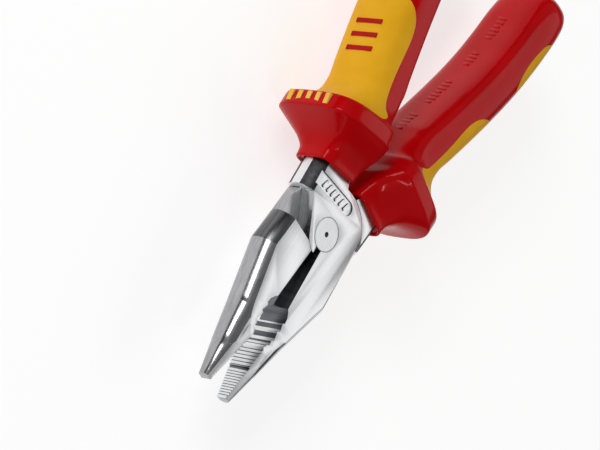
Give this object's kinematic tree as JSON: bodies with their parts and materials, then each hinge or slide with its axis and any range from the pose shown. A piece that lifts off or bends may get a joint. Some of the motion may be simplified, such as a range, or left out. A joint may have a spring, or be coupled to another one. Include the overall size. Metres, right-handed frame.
{
  "type": "lineman pliers",
  "caption": "Short insulated needle-nose combination pliers with a lap joint, cutter, pipe grip and two-tone guarded handles.",
  "frame": {"origin": "on the pivot axis, at the back flat face of the head", "axes": "+Y to the jaw tips, +Z out of the front flat face of the head, +X to the side of the front half's handle"},
  "size_m": [0.058, 0.1434, 0.025],
  "materials": {
    "tool_steel": "ground flats with polished round sides",
    "rivet_steel": "ground flush",
    "inner_insulation": "matte",
    "grip_shell": "satin",
    "soft_pad": "soft matte",
    "guard_mark": "matte",
    "pad_emblem": "matte"
  },
  "bodies": {
    "front_half": {"front_jaw_half": "tool_steel", "pivot_rivet": "rivet_steel", "front_inner_sleeve": "inner_insulation", "front_grip_shell": "grip_shell", "front_thumb_pad": "soft_pad", "front_palm_pad": "soft_pad", "front_guard_marks": "guard_mark", "front_pad_emblem": "pad_emblem"},
    "back_half": {"back_jaw_half": "tool_steel", "back_inner_sleeve": "inner_insulation", "back_grip_shell": "grip_shell", "back_thumb_pad": "soft_pad", "back_palm_pad": "soft_pad", "back_guard_marks": "guard_mark", "back_pad_emblem": "pad_emblem"}
  },
  "joints": [
    {"name": "pivot", "type": "hinge", "parent": "front_half", "child": "back_half", "pos_m": [0, 0, 0.0042], "axis": [0, 0, -1], "range_deg": [-8.4, 29]}
  ]
}
